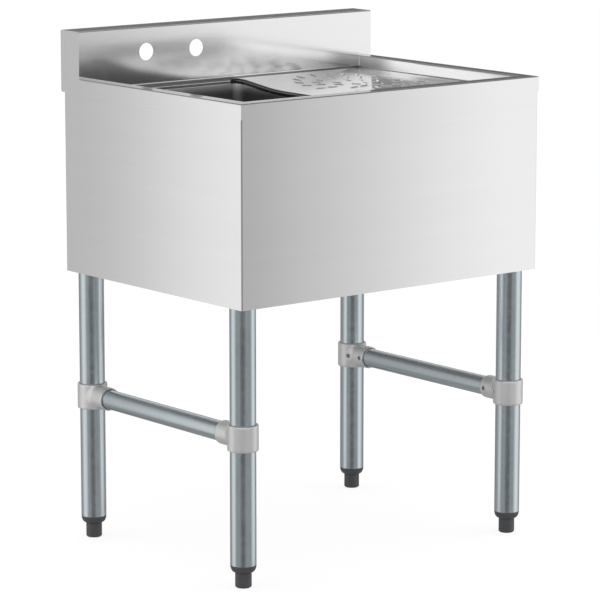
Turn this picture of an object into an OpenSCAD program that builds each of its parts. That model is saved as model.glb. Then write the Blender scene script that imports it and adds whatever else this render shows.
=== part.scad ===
// Free-standing one-bowl sink with a dished drainboard on four tubular legs.
// Millimetres. +Z is up, the front faces -Y, and the origin is on the floor at the middle of the outline.

/* [Overall size] */
// Width from end to end
overall_w = 609.6; // [508:0.1:740]
// Depth from the front rim to the back
overall_d = 476.25; // [390:0.05:580]
// Height of the rim above the floor
rim_h = 762; // [630:0.5:920]

/* [Sheet metal] */
// Thickness of the stainless sheet
sheet = 1.2; // [0.9:0.1:1.6]
// Radius inside the small bends
bend = 1.4; // [0.8:0.1:2]
// Width of the flat top of the rim
rim_w = 25.4; // [18:0.1:32]
// Height of the rim's turned-down lip
lip_h = 24; // [18:0.5:32]
// Depth of the ledge round the bowl below the rim
ledge_drop = 19.5; // [14:0.5:26]
// Width of the front ledge between the rim and the bowl
front_ledge = 26.5; // [18:0.5:40]
// Width of the rear ledge between the bowl and the backsplash
rear_ledge = 17; // [14:0.5:30]

/* [Backsplash] */
// Height above the rim
splash_h = 76.2; // [60:0.1:150]
// Thickness from face to back
splash_d = 50.8; // [40:0.1:70]
// Height of the lip turned down at the back
splash_lip = 22; // [12:0.5:34]
// Radius of the cove between the ledge and the face
cove = 5; // [4:0.5:9]
// Diameter of each tap hole
tap_hole = 28.6; // [22:0.1:35]
// Distance between the tap holes
tap_pitch = 101.6; // [80:0.1:204]
// Height of the tap holes above the rim
tap_rise = 36; // [30:0.5:44]

/* [Bowl] */
// Width inside
bowl_w = 254.5; // [210:0.5:306]
// Depth below the ledge
bowl_h = 254; // [210:1:306]
// Radius of the upright corners
bowl_corner = 18; // [12:1:28]
// Radius between the walls and the floor
bowl_fillet = 16; // [8:1:18]
// Fall of the floor towards the drain
floor_fall = 5; // [3:0.5:9]
// Height of the turned-down edge of the bowl opening
bowl_edge = 7; // [5:0.5:12]

/* [Drainboard] */
// Fall from its perimeter to its lowest edge at the bowl
board_fall = 11.5; // [8:0.5:16]
// Width of the sloping front and rear borders at the bowl
board_border = 97; // [60:1:120]
// Radius of the rolled lip over the bowl
lip_roll = 2.5; // [2:0.25:4]
// Length of an embossed bead
bead_l = 18; // [12:0.5:22]
// Width of an embossed bead
bead_w = 6; // [4:0.5:8]
// Height of an embossed bead
bead_h = 1.7; // [1:0.1:2.2]
// Number of beads in each ring, from the middle out
bead_rings = [6, 11, 17, 22]; // [1:1:30]

/* [Apron] */
// Height of the apron's lower edge above the floor
apron_z = 445; // [400:1:520]
// Width of the flange along its lower and rear edges
apron_flange = 16; // [10:0.5:24]
// Clearance of the lower flange round the legs
leg_notch = 2; // [1:0.25:4]

/* [Under-frame] */
// Depth of the side channels
channel_h = 24; // [18:0.5:32]
// Width inside the web of the channels
channel_web = 30; // [22:0.5:36]
// Wall of the leg gussets
gusset_wall = 3; // [2.4:0.1:4]
// Length of the leg socket in a gusset
gusset_l = 52; // [40:1:70]
// Set-in of the rear legs from the back
rear_leg_in = 37.4; // [32:0.1:60]
// Set-in of the front legs from the front
front_leg_in = 34.6; // [32:0.1:60]

/* [Legs and crossbars] */
// Outside diameter of a leg tube
leg_od = 41.275; // [34:0.005:50]
// Wall of the tubes
tube_wall = 1.5; // [1.2:0.1:2]
// Outside diameter of a crossbar
bar_od = 31.75; // [26:0.05:38]
// Height of the crossbars above the floor
bar_z = 239; // [150:1:330]
// Wall of the tee sockets
tee_wall = 3.7; // [3:0.1:5]
// Height of a tee socket's ring
tee_h = 42; // [34:0.5:56]
// Reach of a tee socket's branch from the leg's axis
tee_reach = 50; // [42:0.5:60]
// Clearance of a tube in its socket
socket_gap = 0.15; // [0.05:0.05:0.3]

/* [Feet] */
// Height of a foot below its insert
foot_h = 24.4; // [20:0.2:34]
// Diameter of a foot
foot_d = 26; // [20:0.5:30]
// Height of the insert's dome below the tube
dome_h = 12; // [8:0.5:16]
// Length of the insert's sleeve inside the tube
insert_l = 40; // [32:1:60]
// Diameter of the foot's stud
stud_d = 9.525; // [8:0.025:12.7]
// Length of the stud above the foot
stud_l = 44; // [38:1:60]
// Running clearance of the stud in the insert
stud_gap = 0.06; // [0.02:0.01:0.1]

/* [Drain] */
// Diameter of the strainer's flange
drain_flange = 112; // [104:1:120]
// Diameter of the strainer's threaded cup
drain_cup = 86; // [80:1:90]
// Depth of the cup below the flange
cup_h = 48; // [42:1:60]
// Outside diameter of the threaded outlet
outlet_od = 38.1; // [32:0.1:50]
// Length of the outlet
outlet_l = 24; // [18:1:34]
// Clearance between the basket and the strainer
basket_gap = 0.4; // [0.3:0.1:0.8]

/* [Hidden] */
CORNERS = ["fl", "fr", "rl", "rr"];

$fn = 48;
bend_steps = 4;
through = 1;

stainless = "#c9cbcc";
galvanized = "#8f9aa0";
casting = "#c6c3be";
plastic = "#56575b";
rubber = "#262626";
fibre = "#9c8a68";

// Outline and levels of the deck
half_w = overall_w / 2;
front_y = -overall_d / 2;
back_y = overall_d / 2;
face_y = back_y - splash_d;
ledge_z = rim_h - ledge_drop;
lip_z = rim_h - lip_h;
splash_top = rim_h + splash_h;
wall_x = half_w - rim_w;
wall_y = front_y + rim_w;
ledge_lap = 4;
cove_y = face_y - cove - ledge_lap;

// Legs, gussets and side channels
leg_r = leg_od / 2;
gusset_r = leg_r + socket_gap + gusset_wall;
channel_margin = 4.425;
channel_w = 2 * gusset_r + channel_margin;
leg_x = half_w - 2 * sheet - channel_w / 2;
front_leg_y = front_y + front_leg_in;
rear_leg_y = back_y - rear_leg_in;
channel_top = ledge_z - sheet;
web_z = channel_top - channel_h - sheet;
gusset_plate = 3;
leg_top = web_z - gusset_plate;
leg_bottom = foot_h + dome_h;
set_screw_r = 3.2;
screw_fit = 0.05;
gusset_screw_z = leg_top - gusset_l * 0.62;

// Bowl opening and drainboard
bowl_gap = 1.7;
bowl_left = -half_w + 2 * sheet + channel_w + bowl_gap + sheet;
bowl_right = bowl_left + bowl_w;
bowl_front = wall_y + front_ledge;
bowl_rear = face_y - rear_ledge;
bowl_x = (bowl_left + bowl_right) / 2;
bowl_y = (bowl_front + bowl_rear) / 2;
bowl_d = bowl_rear - bowl_front;
floor_z = ledge_z - bowl_h;
seat_z = floor_z - floor_fall;
seat_r = drain_flange / 2 + 3;
board_left = bowl_right - bowl_corner;
board_right = leg_x - channel_w / 2;
board_low = ledge_z - board_fall;
board_run = board_right - bowl_right;
pitch = atan(board_fall / board_run);
border = min(board_border, bowl_d * 0.35);
border_front = bowl_front + border;
border_rear = bowl_rear - border;
board_front = bowl_front + bowl_corner;
board_rear = bowl_rear - bowl_corner;

// Height of the drainboard's surface above the floor at a point
function board_z(x, y) = max(
    board_low + board_fall * max(0, x - bowl_right) / board_run,
    ledge_z - board_fall * (bowl_rear - y) / border,
    ledge_z - board_fall * (y - bowl_front) / border);

function unit(v) = v / norm(v);
function right_normal(p, q) = let (d = unit(q - p)) [d.y, -d.x];
function reversed(list) = [for (i = [len(list) - 1 : -1 : 0]) list[i]];

// Corner b of the path a, b, c, moved to the right by t
function moved_corner(a, b, c, t) =
    let (m = right_normal(a, b), n = right_normal(b, c)) b + (m + n) * t / (1 + m * n);

// Arc of radius r that rounds corner b of the path a, b, c
function corner_arc(a, b, c, r) =
    let (u = unit(a - b), v = unit(c - b), half = acos(u * v) / 2)
    let (centre = b + unit(u + v) * r / sin(half), start = b + u * r / tan(half) - centre)
    let (turn = (180 - 2 * half) * sign(cross(b - a, c - b)))
    [for (i = [0 : bend_steps])
        let (w = turn * i / bend_steps)
        centre + [start.x * cos(w) - start.y * sin(w), start.x * sin(w) + start.y * cos(w)]];

// Outline of a sheet bent along a path, with its thickness on the path's right
function sheet_outline(path, inside, t = sheet) =
    let (last = len(path) - 1)
    let (right = [for (i = [1 : last - 1]) cross(path[i] - path[i - 1], path[i + 1] - path[i]) < 0])
    let (moved = [
        path[0] + right_normal(path[0], path[1]) * t,
        for (i = [1 : last - 1]) moved_corner(path[i - 1], path[i], path[i + 1], t),
        path[last] + right_normal(path[last - 1], path[last]) * t])
    let (face = [
        path[0],
        for (i = [1 : last - 1])
            each corner_arc(path[i - 1], path[i], path[i + 1], inside[i - 1] + (right[i - 1] ? t : 0)),
        path[last]])
    let (back = [
        moved[0],
        for (i = [1 : last - 1])
            each corner_arc(moved[i - 1], moved[i], moved[i + 1], inside[i - 1] + (right[i - 1] ? 0 : t)),
        moved[last]])
    concat(face, reversed(back));

module bent_sheet(path, inside) {
    polygon(sheet_outline(path, inside));
}

// Flat rectangle between two corners, with round corners
module round_rectangle(low, high, r) {
    translate(low + [r, 0]) square([high.x - low.x - 2 * r, high.y - low.y]);
    translate(low + [0, r]) square([high.x - low.x, high.y - low.y - 2 * r]);
    for (x = [low.x + r, high.x - r], y = [low.y + r, high.y - r])
        translate([x, y]) circle(r);
}

module rounded_cylinder(r, h, c) {
    rotate_extrude() polygon([[0, 0], [r - c, 0], [r, c], [r, h - c], [r - c, h], [0, h]]);
}

module at_corner(c) {
    side = c[1] == "l" ? -1 : 1;
    y = c[0] == "f" ? front_leg_y : rear_leg_y;
    translate([side * leg_x, y, 0]) children();
}

// Turns +X to the inward side of the frame and +Y to the other leg of the frame
module facing(c) {
    scale([c[1] == "l" ? 1 : -1, c[0] == "f" ? 1 : -1, 1]) children();
}

// The rim's section, with x measured inwards from the outline
module rim_section() {
    bent_sheet([[0, lip_z], [0, rim_h], [rim_w, rim_h], [rim_w, ledge_z], [rim_w + ledge_lap, ledge_z]],
               [bend, bend, bend]);
}

module rim_side() {
    reach = rim_w + ledge_lap + through;
    intersection() {
        translate([-half_w, face_y, 0]) rotate([90, 0, 0])
            linear_extrude(face_y - front_y) rim_section();
        translate([0, 0, lip_z - through]) linear_extrude(lip_h + 2 * through)
            polygon([[-half_w, front_y], [-half_w + reach, front_y + reach], [-half_w + reach, cove_y],
                     [-wall_x, cove_y], [-wall_x, face_y], [-half_w, face_y]]);
    }
}

module rim_front() {
    reach = rim_w + ledge_lap + through;
    intersection() {
        translate([-half_w, front_y, 0]) rotate([90, 0, 90])
            linear_extrude(overall_w) rim_section();
        translate([0, 0, lip_z - through]) linear_extrude(lip_h + 2 * through)
            polygon([[-half_w, front_y], [half_w, front_y],
                     [half_w - reach, front_y + reach], [-half_w + reach, front_y + reach]]);
    }
}

module bowl_outline(grow = 0) {
    round_rectangle([bowl_left - grow, bowl_front - grow], [bowl_right + grow, bowl_rear + grow],
                    bowl_corner + grow);
}

// Turned-down edge of the bowl opening, with x measured towards the bowl
module edge_section() {
    bent_sheet([[-ledge_lap, ledge_z], [0, ledge_z], [0, ledge_z - bowl_edge]], [bend]);
}

module bowl_opening_edge() {
    inner_left = bowl_left + bowl_corner;
    translate([bowl_left, bowl_rear - bowl_corner, 0]) rotate([90, 0, 0])
        linear_extrude(bowl_d - 2 * bowl_corner) edge_section();
    for (side = [-1, 1])
        translate([0, side * bowl_d / 2 + bowl_y, 0]) scale([1, -side, 1]) {
            translate([inner_left, 0, 0]) rotate([90, 0, 90])
                linear_extrude(board_left - inner_left) edge_section();
            translate([inner_left, bowl_corner, 0]) rotate([0, 0, 180])
                rotate_extrude(angle = 90) translate([bowl_corner, 0]) mirror([1, 0]) edge_section();
        }
}

module deck_rim() {
    lap_x = wall_x - ledge_lap / 2;
    color(stainless) {
        rim_side();
        mirror([1, 0, 0]) rim_side();
        rim_front();
        translate([0, 0, ledge_z - sheet]) linear_extrude(sheet) difference() {
            translate([-lap_x, wall_y + ledge_lap / 2])
                square([2 * lap_x, cove_y - wall_y - ledge_lap / 2]);
            bowl_outline(ledge_lap / 2);
            translate([board_left, bowl_front]) square([board_right - board_left, bowl_d]);
        }
        intersection() {
            bowl_opening_edge();
            translate([-half_w, front_y, 0]) cube([half_w + board_left, overall_d, rim_h]);
        }
    }
}

// Space above the drainboard's surface lowered by drop, up to top
module board_space(drop, top) {
    edge = ledge_z - drop;
    low = board_low - drop;
    polyhedron(
        points = [
            [board_left, bowl_front, top], [board_left, bowl_rear, top],
            [board_right, bowl_rear, top], [board_right, bowl_front, top],
            [board_left, bowl_front, edge], [board_left, bowl_rear, edge],
            [board_right, bowl_rear, edge], [board_right, bowl_front, edge],
            [board_left, border_front, low], [board_left, border_rear, low],
            [bowl_right, border_front, low], [bowl_right, border_rear, low],
            [bowl_right, bowl_front, edge], [bowl_right, bowl_rear, edge]],
        faces = [
            [0, 1, 2, 3], [1, 0, 4, 8, 9, 5], [2, 1, 5, 13, 6], [3, 2, 6, 7], [0, 3, 7, 12, 4],
            [4, 12, 10, 8], [9, 11, 13, 5], [8, 10, 11, 9], [12, 7, 10], [11, 6, 13], [10, 7, 6, 11]]);
}

// Section of the drainboard's rolled lip at the bowl, with its tongue inside the sheet
seam = 0.05;
lip_drop = bowl_edge;
lip_reach = lip_roll + 1;
tongue_reach = lip_reach + 1;
lip_section = sheet_outline(
    [[bowl_right, -lip_drop], [bowl_right, -seam], [bowl_right + tongue_reach, -seam]],
    [lip_roll - sheet], sheet - 2 * seam);

// Rolled lip that follows the drainboard's edge between the bowl's upright corners
module board_lip() {
    slit = 0.2;
    crease = border * tongue_reach / board_run;
    ys = [board_front + slit, border_front - crease, border_front,
          border_rear, border_rear + crease, board_rear - slit];
    n = len(lip_section);
    last = (len(ys) - 1) * n;
    polyhedron([for (y = ys, p = lip_section) [p.x, y, p.y + board_z(p.x, y)]], concat(
        [for (i = [0 : n / 2 - 2]) [i, i + 1, n - 2 - i, n - 1 - i]],
        [for (k = [0 : len(ys) - 2], i = [0 : n - 1])
            let (a = k * n + i, b = k * n + (i + 1) % n)
            each [[a, a + n, b], [b, a + n, b + n]]],
        [for (i = [0 : n / 2 - 2]) [last + n - 1 - i, last + n - 2 - i, last + i + 1, last + i]]));
}

// Embossed bead that follows the drainboard's surface, lowered by drop
module bead(centre, angle, length, width, drop) {
    rings = [[1, -sheet / 2], [0.8, 0.6 * bead_h], [0.45, bead_h]];
    sides = 8;
    half_l = (length - width) / 2;
    points = [for (ring = rings, i = [0 : sides - 1])
        let (a = 360 * (i + 0.5) / sides)
        let (u = ring[0] * width / 2 * cos(a) + sign(cos(a)) * half_l, v = ring[0] * width / 2 * sin(a))
        let (x = centre.x + u * cos(angle) - v * sin(angle))
        let (y = centre.y + u * sin(angle) + v * cos(angle))
        [x, y, board_z(x, y) + ring[1] - drop]];
    last = (len(rings) - 1) * sides;
    polyhedron(points, concat(
        [for (i = [1 : sides - 2]) [0, i, i + 1]],
        [for (k = [0 : len(rings) - 2], i = [0 : sides - 1])
            let (a = k * sides + i, b = k * sides + (i + 1) % sides)
            each [[a, a + sides, b], [b, a + sides, b + sides]]],
        [for (i = [1 : sides - 2]) [last + i + 1, last + i, last]]));
}

// Beads in rounded rings about the drainboard's middle, each pointing to it
module beads(length, width, drop) {
    centre = [(bowl_right + board_right) / 2 + board_run * 0.06, bowl_y];
    reach = [board_run * 0.315, bowl_d * 0.425];
    squareness = 0.72;
    rings = len(bead_rings);
    for (k = [0 : rings - 1], i = [0 : bead_rings[k] - 1]) {
        a = 360 * (i + (k % 2) / 2) / bead_rings[k];
        out = [sign(cos(a)) * pow(abs(cos(a)), squareness) * reach.x,
               sign(sin(a)) * pow(abs(sin(a)), squareness) * reach.y] * (k + 0.75) / (rings - 0.25);
        bead(centre + out, atan2(out.y, out.x), length, width, drop);
    }
}

module drainboard() {
    below = board_low - 2 * sheet;
    height = board_fall + 4 * sheet;
    color(stainless) difference() {
        union() {
            difference() {
                board_space(sheet, ledge_z);
                board_space(0, ledge_z + through);
                translate([0, 0, below]) linear_extrude(height) bowl_outline();
                translate([bowl_right - through, board_front, below])
                    cube([lip_reach + through, board_rear - board_front, height]);
            }
            board_lip();
            beads(bead_l, bead_w, 0);
        }
        beads(bead_l - 1.4 * sheet, bead_w - 1.4 * sheet, sheet);
    }
}

module backsplash() {
    length = overall_w - 2 * sheet;
    color(stainless) difference() {
        translate([-length / 2, 0, 0]) rotate([90, 0, 90]) linear_extrude(length)
            bent_sheet([[cove_y, ledge_z], [face_y, ledge_z], [face_y, splash_top],
                        [back_y, splash_top], [back_y, splash_top - splash_lip]],
                       [cove - sheet, bend, bend]);
        for (side = [-1, 1])
            translate([side * (wall_x + half_w) / 2, (cove_y + face_y) / 2, ledge_z])
                cube([rim_w, face_y - cove_y, 4 * cove], center = true);
        for (side = [-1, 1])
            translate([bowl_x + side * tap_pitch / 2, face_y - through, rim_h + tap_rise])
                rotate([-90, 0, 0]) cylinder(d = tap_hole, h = sheet + 2 * through);
    }
}

module splash_end(side) {
    color(stainless) translate([side > 0 ? half_w - sheet : -half_w, 0, 0])
        rotate([90, 0, 90]) linear_extrude(sheet) {
            corner = bend + sheet;
            translate([face_y, lip_z]) square([splash_d - corner, splash_top - corner - lip_z]);
            translate([face_y + corner, lip_z]) square([splash_d - 2 * corner, splash_top - lip_z]);
            translate([face_y + corner, lip_z + corner])
                square([splash_d - corner, splash_top - lip_z - 2 * corner]);
            for (p = [[face_y + corner, splash_top - corner], [back_y - corner, splash_top - corner],
                      [back_y - corner, lip_z + corner]])
                translate(p) circle(corner);
        }
}

// Bowl-shaped solid: upright corners of radius r, a rounded foot, and a fall to the drain
module bowl_form(grow, top) {
    r = bowl_fillet + grow;
    inset = bowl_corner - bowl_fillet;
    hull() {
        for (x = [bowl_left + bowl_corner, bowl_right - bowl_corner],
             y = [bowl_front + bowl_corner, bowl_rear - bowl_corner])
            translate([x, y, floor_z + bowl_fillet]) rotate_extrude($fn = 36) {
                square([inset + r, top - floor_z - bowl_fillet]);
                intersection() {
                    translate([inset, 0]) circle(r, $fn = 36);
                    translate([0, -r]) square([inset + r, r]);
                }
            }
        translate([bowl_x, bowl_y, seat_z - grow]) cylinder(r = seat_r, h = 1, $fn = 48);
    }
}

module bowl() {
    top = ledge_z - bowl_edge;
    color(stainless) difference() {
        bowl_form(sheet, ledge_z);
        bowl_form(0, ledge_z + through);
        translate([-half_w, front_y, top]) cube([half_w + board_left, overall_d, rim_h]);
        board_space(sheet, ledge_z + through);
        lip_trim();
        translate([bowl_x, bowl_y, seat_z - 2 * sheet])
            cylinder(d = drain_cup + 2, h = 4 * sheet);
    }
}

// Clears the bowl's wall for the rolled lip's turned-down edge
module lip_trim() {
    ys = [board_front, border_front, border_rear, board_rear];
    translate([bowl_right - sheet, 0, 0]) rotate([90, 0, 90]) linear_extrude(3 * sheet)
        polygon(concat([for (y = ys) [y, board_z(bowl_right, y) - lip_drop]],
                       [[board_rear, ledge_z + through], [board_front, ledge_z + through]]));
}

module apron() {
    x = half_w - sheet;
    y = front_y + sheet;
    rear = rear_leg_y + gusset_r + 7;
    top = ledge_z - sheet;
    color(stainless) {
        translate([0, 0, apron_z]) linear_extrude(top - apron_z)
            bent_sheet([[x - apron_flange, rear], [x, rear], [x, y], [-x, y], [-x, rear],
                        [-x + apron_flange, rear]], [bend, bend, bend, bend]);
        difference() {
            translate([-x + sheet / 2, y + sheet / 2, apron_z])
                cube([2 * x - sheet, rear - y - sheet, sheet]);
            translate([-x + apron_flange, y + apron_flange, apron_z - through])
                cube([2 * (x - apron_flange), rear - y, sheet + 2 * through]);
            for (c = CORNERS)
                at_corner(c) translate([0, 0, apron_z - through])
                    cylinder(r = leg_r + leg_notch, h = sheet + 2 * through);
        }
    }
}

module hat_section(w, web, h) {
    bent_sheet([[-w / 2, 0], [-web / 2, 0], [-web / 2, -h], [web / 2, -h], [web / 2, 0], [w / 2, 0]],
               [bend, bend, bend, bend]);
}

module channel(side) {
    front = front_y + 2 * sheet + bend;
    rear = rear_leg_y + gusset_r + 3;
    color(galvanized) translate([side * leg_x, rear, channel_top]) rotate([90, 0, 0])
        linear_extrude(rear - front) hat_section(channel_w, channel_web, channel_h);
}

module drainboard_stiffener() {
    x = (bowl_right + board_right) / 2;
    margin = 8;
    front = border_front - border / 2 + margin;
    rear = border_rear + border / 2 - margin;
    color(galvanized) translate([x, rear, board_z(x, bowl_y) - sheet - 0.05])
        rotate([0, -pitch, 0]) rotate([90, 0, 0])
            linear_extrude(rear - front) hat_section(channel_w, channel_web, channel_h * 0.6);
}

module leg_gusset(c) {
    plate_l = 2 * gusset_r + 6;
    color(galvanized) at_corner(c) facing(c) difference() {
        union() {
            translate([-gusset_r, -gusset_r - 3, leg_top]) cube([2 * gusset_r, plate_l, gusset_plate]);
            translate([0, 0, leg_top - gusset_l]) cylinder(r = gusset_r, h = gusset_l + gusset_plate);
        }
        translate([0, 0, leg_top - gusset_l - through])
            cylinder(r = leg_r + socket_gap, h = gusset_l + through);
        translate([0, 0, gusset_screw_z]) rotate([-90, 0, 0])
            cylinder(r = set_screw_r + screw_fit, h = gusset_r + through);
    }
}

module leg(c) {
    color(galvanized) at_corner(c) difference() {
        translate([0, 0, leg_bottom]) cylinder(r = leg_r, h = leg_top - leg_bottom, $fn = 64);
        translate([0, 0, leg_bottom - through])
            cylinder(r = leg_r - tube_wall, h = leg_top - leg_bottom + 2 * through, $fn = 64);
    }
}

tee_r = leg_r + socket_gap + tee_wall;
branch_bore = bar_od / 2 + socket_gap;
branch_r = branch_bore + tee_wall * 0.85;
branch_start = tee_r - 0.5;
neck_end = tee_r + 7;
bar_in = branch_start + 1;
tee_screw_turn = 35;
branch_screw_y = tee_reach - 9;

module tee_socket(c) {
    edge = 1.6;
    color(casting) at_corner(c) facing(c) translate([0, 0, bar_z]) difference() {
        union() {
            translate([0, 0, -tee_h / 2]) rounded_cylinder(tee_r, tee_h, edge);
            rotate([-90, 0, 0]) rounded_cylinder(branch_r, tee_reach, edge * 0.6);
            intersection() {
                rotate([-90, 0, 0]) cylinder(r1 = tee_r - 1, r2 = branch_r - 0.3, h = neck_end);
                cube([2 * tee_r, 2 * neck_end, tee_h - 2 * edge], center = true);
            }
        }
        cylinder(r = leg_r + socket_gap, h = 2 * max(tee_h / 2, branch_r) + 2 * through, center = true);
        rotate([-90, 0, 0]) translate([0, 0, branch_start]) cylinder(r = branch_bore, h = tee_reach);
        rotate([0, 90, tee_screw_turn]) cylinder(r = set_screw_r + screw_fit, h = tee_r + through);
        translate([0, branch_screw_y, 0]) rotate([0, 90, 0])
            cylinder(r = set_screw_r + screw_fit, h = branch_r + through);
    }
}

module crossbar(side) {
    front = front_leg_y + bar_in;
    rear = rear_leg_y - bar_in;
    color(galvanized) translate([side * leg_x, front, bar_z]) rotate([-90, 0, 0]) difference() {
        cylinder(d = bar_od, h = rear - front, $fn = 64);
        translate([0, 0, -through])
            cylinder(d = bar_od - 2 * tube_wall, h = rear - front + 2 * through, $fn = 64);
    }
}

// Set screw along +X from radius inner to radius outer, with a hexagon socket in its end
module set_screw(inner, outer) {
    rotate([0, 90, 0]) difference() {
        translate([0, 0, inner]) cylinder(r = set_screw_r, h = outer - inner);
        translate([0, 0, outer - 1.6]) cylinder(r = 1.9, h = 2, $fn = 6);
    }
}

module tee_set_screws() {
    gap = 0.1;
    color(galvanized) for (c = CORNERS) at_corner(c) facing(c) translate([0, 0, bar_z]) {
        rotate([0, 0, tee_screw_turn]) set_screw(leg_r + gap, tee_r - 0.3);
        translate([0, branch_screw_y, 0]) set_screw(bar_od / 2 + gap, branch_r - 0.3);
    }
}

module gusset_set_screws() {
    gap = 0.1;
    color(galvanized) for (c = CORNERS) at_corner(c) facing(c) translate([0, 0, gusset_screw_z])
        rotate([0, 0, 90]) set_screw(leg_r + gap, gusset_r + 2.5);
}

sleeve_r = leg_r - tube_wall - 0.1;
stud_r = stud_d / 2;
stud_seat = 6;
foot_gap = 0.3;

// Moulded insert: a domed shoulder below the tube, a sleeve inside it and a threaded boss
module foot_insert(c) {
    boss_r = stud_r + 5;
    skin = 2.6;
    low_r = foot_d / 2 + 0.8;
    dome = [for (i = [0 : 6])
        let (a = 15 * i)
        [low_r + (leg_r - low_r) * sin(a), leg_bottom - (dome_h - foot_gap) * cos(a)]];
    color(plastic) at_corner(c) rotate_extrude() polygon(concat(
        [[stud_r + stud_gap, foot_h + foot_gap]], dome,
        [[sleeve_r, leg_bottom], [sleeve_r, leg_bottom + insert_l - 2],
         [sleeve_r - 1, leg_bottom + insert_l], [sleeve_r - skin, leg_bottom + insert_l],
         [sleeve_r - skin, leg_bottom + skin], [boss_r, leg_bottom + skin],
         [boss_r, leg_bottom + insert_l * 0.7], [stud_r + stud_gap, leg_bottom + insert_l * 0.7]]));
}

module foot(c) {
    edge = 1.8;
    r = foot_d / 2;
    hole = stud_r + 0.05;
    color(plastic) at_corner(c) rotate_extrude() polygon([
        [0, 0], [r - edge, 0], [r, edge], [r, foot_h - 0.6], [r - 0.6, foot_h], [hole, foot_h],
        [hole, stud_seat], [0, stud_seat]]);
}

module foot_stud(c) {
    edge = 1;
    top = foot_h + stud_l;
    color(galvanized) at_corner(c) rotate_extrude() polygon([
        [0, stud_seat], [stud_r, stud_seat], [stud_r, top - edge], [stud_r - edge, top], [0, top]]);
}

cup_r = drain_cup / 2;
cup_skin = 1.6;
cup_floor = seat_z - cup_h;
flange_t = 1.6;
shelf_z = seat_z - 16;
shelf_r = cup_r - 7;
outlet_r = outlet_od / 2;
outlet_bore = outlet_r - 2.4;
outlet_end = cup_floor - outlet_l;

module at_drain() {
    translate([bowl_x, bowl_y, 0]) children();
}

module strainer_body() {
    flange_r = drain_flange / 2;
    color(stainless) at_drain() rotate_extrude($fn = 64) polygon([
        [flange_r, seat_z], [flange_r, seat_z + flange_t * 0.4], [flange_r - 3, seat_z + flange_t],
        [cup_r, seat_z + flange_t], [cup_r - cup_skin, seat_z - 2],
        [cup_r - cup_skin, shelf_z + 2], [shelf_r, shelf_z], [shelf_r, cup_floor + 6],
        [shelf_r - 6, cup_floor], [outlet_bore + 3, cup_floor], [outlet_bore, cup_floor - 3],
        [outlet_bore, outlet_end], [outlet_r, outlet_end], [outlet_r, cup_floor - cup_skin],
        [shelf_r - 6, cup_floor - cup_skin], [shelf_r + cup_skin, cup_floor + 5],
        [shelf_r + cup_skin, shelf_z - 3], [cup_r, shelf_z - 1], [cup_r, seat_z]]);
}

module drain_ring(inner, outer, low, high) {
    at_drain() translate([0, 0, low]) difference() {
        cylinder(r = outer, h = high - low, $fn = 64);
        translate([0, 0, -through]) cylinder(r = inner, h = high - low + 2 * through, $fn = 64);
    }
}

under_z = seat_z - sheet;
gasket_t = 3.2;
washer_t = 1;
nut_t = 9;
thread_fit = 0.15;

module strainer_gasket() {
    color(rubber) drain_ring(cup_r + thread_fit, drain_flange / 2 - 2, under_z - gasket_t, under_z);
}

module strainer_washer() {
    top = under_z - gasket_t;
    color(fibre) drain_ring(cup_r + thread_fit, drain_flange / 2 - 3, top - washer_t, top);
}

module strainer_locknut() {
    top = under_z - gasket_t - washer_t;
    lugs = 8;
    color(casting) {
        drain_ring(cup_r + thread_fit, cup_r + 5, top - nut_t, top);
        drain_ring(cup_r + thread_fit, drain_flange / 2 - 3, top - 2, top);
        for (i = [0 : lugs - 1])
            at_drain() rotate([0, 0, 360 * i / lugs])
                translate([cup_r + 4, -3, top - nut_t]) cube([5.5, 6, nut_t - 1]);
    }
}

basket_r = shelf_r - basket_gap;
basket_skin = 1;
basket_floor = cup_floor + 9;
post_r = 4;

module basket() {
    rim_r = cup_r - cup_skin - basket_gap;
    rim_z = shelf_z + 2 + basket_gap;
    wall_r = basket_r - 1.5;
    holes = 16;
    slots = 24;
    color(stainless) at_drain() difference() {
        rotate_extrude($fn = 64) polygon([
            [rim_r - 1, rim_z], [rim_r - 1, rim_z + basket_skin],
            [wall_r - basket_skin, rim_z + basket_skin],
            [wall_r - 3, basket_floor + 3], [wall_r - 6, basket_floor + basket_skin],
            [post_r + 0.1, basket_floor + basket_skin], [post_r + 0.1, basket_floor],
            [wall_r - 5.5, basket_floor], [wall_r - 2, basket_floor + 3], [wall_r, rim_z]]);
        for (i = [0 : holes - 1])
            rotate([0, 0, 360 * i / holes])
                translate([wall_r - 11, 0, basket_floor - through]) cylinder(r = 2.1, h = 4, $fn = 24);
        for (i = [0 : holes / 2 - 1])
            rotate([0, 0, 720 * i / holes])
                translate([wall_r - 19, 0, basket_floor - through]) cylinder(r = 2.1, h = 4, $fn = 24);
        for (i = [0 : slots - 1])
            rotate([0, 0, 360 * i / slots])
                translate([wall_r - 6, -1.1, basket_floor + 6]) cube([9, 2.2, 13]);
    }
}

module basket_post() {
    top = seat_z + 8;
    knob_r = 10;
    color(stainless) at_drain() rotate_extrude() polygon([
        [0, basket_floor - 3], [post_r, basket_floor - 3], [post_r, basket_floor - through / 2],
        [post_r, top - 10], [post_r + 1, top - 7], [knob_r, top - 3], [knob_r, top - 1],
        [knob_r - 2, top], [0, top]]);
}

module basket_seal() {
    top = basket_floor - 0.1;
    low = cup_floor + 0.4;
    seal_r = outlet_bore + 7;
    color(rubber) at_drain() rotate_extrude() polygon([
        [post_r + 0.1, low + 3], [seal_r - 6, low], [seal_r, low + 1.5], [seal_r, low + 4],
        [seal_r - 8, low + 7], [post_r + 5, top], [post_r + 0.1, top]]);
}

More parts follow.
